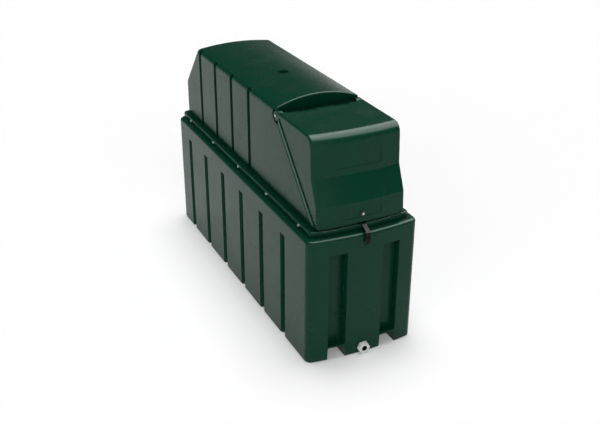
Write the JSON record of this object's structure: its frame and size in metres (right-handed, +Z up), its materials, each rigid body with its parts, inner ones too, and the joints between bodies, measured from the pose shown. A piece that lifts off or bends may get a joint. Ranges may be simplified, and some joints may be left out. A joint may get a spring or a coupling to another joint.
{
  "type": "heating oil tank",
  "caption": "Slim double-skinned heating oil tank in ribbed green plastic with a hinged hood and a low front outlet.",
  "frame": {"origin": "centre of the footprint on the floor, on the flat strip under the tub", "axes": "+Z up, Y along the tank, the hooded front end and outlet towards -Y, X across"},
  "size_m": [0.65, 2.054, 1.3157],
  "materials": {
    "green_shell": "satin",
    "tank_shell": "satin",
    "zinc_steel": "satin",
    "black_steel": "satin",
    "black_plastic": "matte",
    "grey_plastic": "matte",
    "pale_fitting": "satin",
    "rubber_seal": "matte",
    "brass_fitting": "satin"
  },
  "bodies": {
    "tank": {"bund_tub": "green_shell", "inner_tank": "tank_shell", "top_cover": "green_shell", "cover_screws": "zinc_steel", "pivot_bolts": "zinc_steel", "pivot_spacers": "black_plastic", "pivot_inserts": "brass_fitting", "lock_bracket": "black_steel", "bracket_screws": "zinc_steel", "outlet_fitting": "pale_fitting", "outlet_gasket": "rubber_seal", "outlet_backnut": "pale_fitting", "tank_nuts": "pale_fitting", "lid_ring": "black_plastic", "fill_neck": "brass_fitting", "vent_pipe": "black_plastic", "vent_cowl": "black_plastic", "level_sender": "grey_plastic", "overfill_probe": "brass_fitting"},
    "hood": {"front_hood": "green_shell", "lock_strap": "black_steel", "strap_bolt": "black_steel", "strap_nut": "zinc_steel"},
    "lid": {"inspection_lid": "black_plastic"},
    "cap": {"fill_cap": "black_plastic"}
  },
  "joints": [
    {"name": "hood_hinge", "type": "hinge", "parent": "tank", "child": "hood", "pos_m": [0, -0.45, 1.236], "axis": [-1, 0, 0], "range_deg": [0, 72]},
    {"name": "lid_turn", "type": "hinge", "parent": "tank", "child": "lid", "pos_m": [-0.125, -0.66, 0.96], "axis": [0, 0, 1], "range_deg": [0, 540]},
    {"name": "cap_turn", "type": "hinge", "parent": "tank", "child": "cap", "pos_m": [0.025, -0.703, 0.98], "axis": [0, 0, 1], "range_deg": [0, 720]}
  ]
}
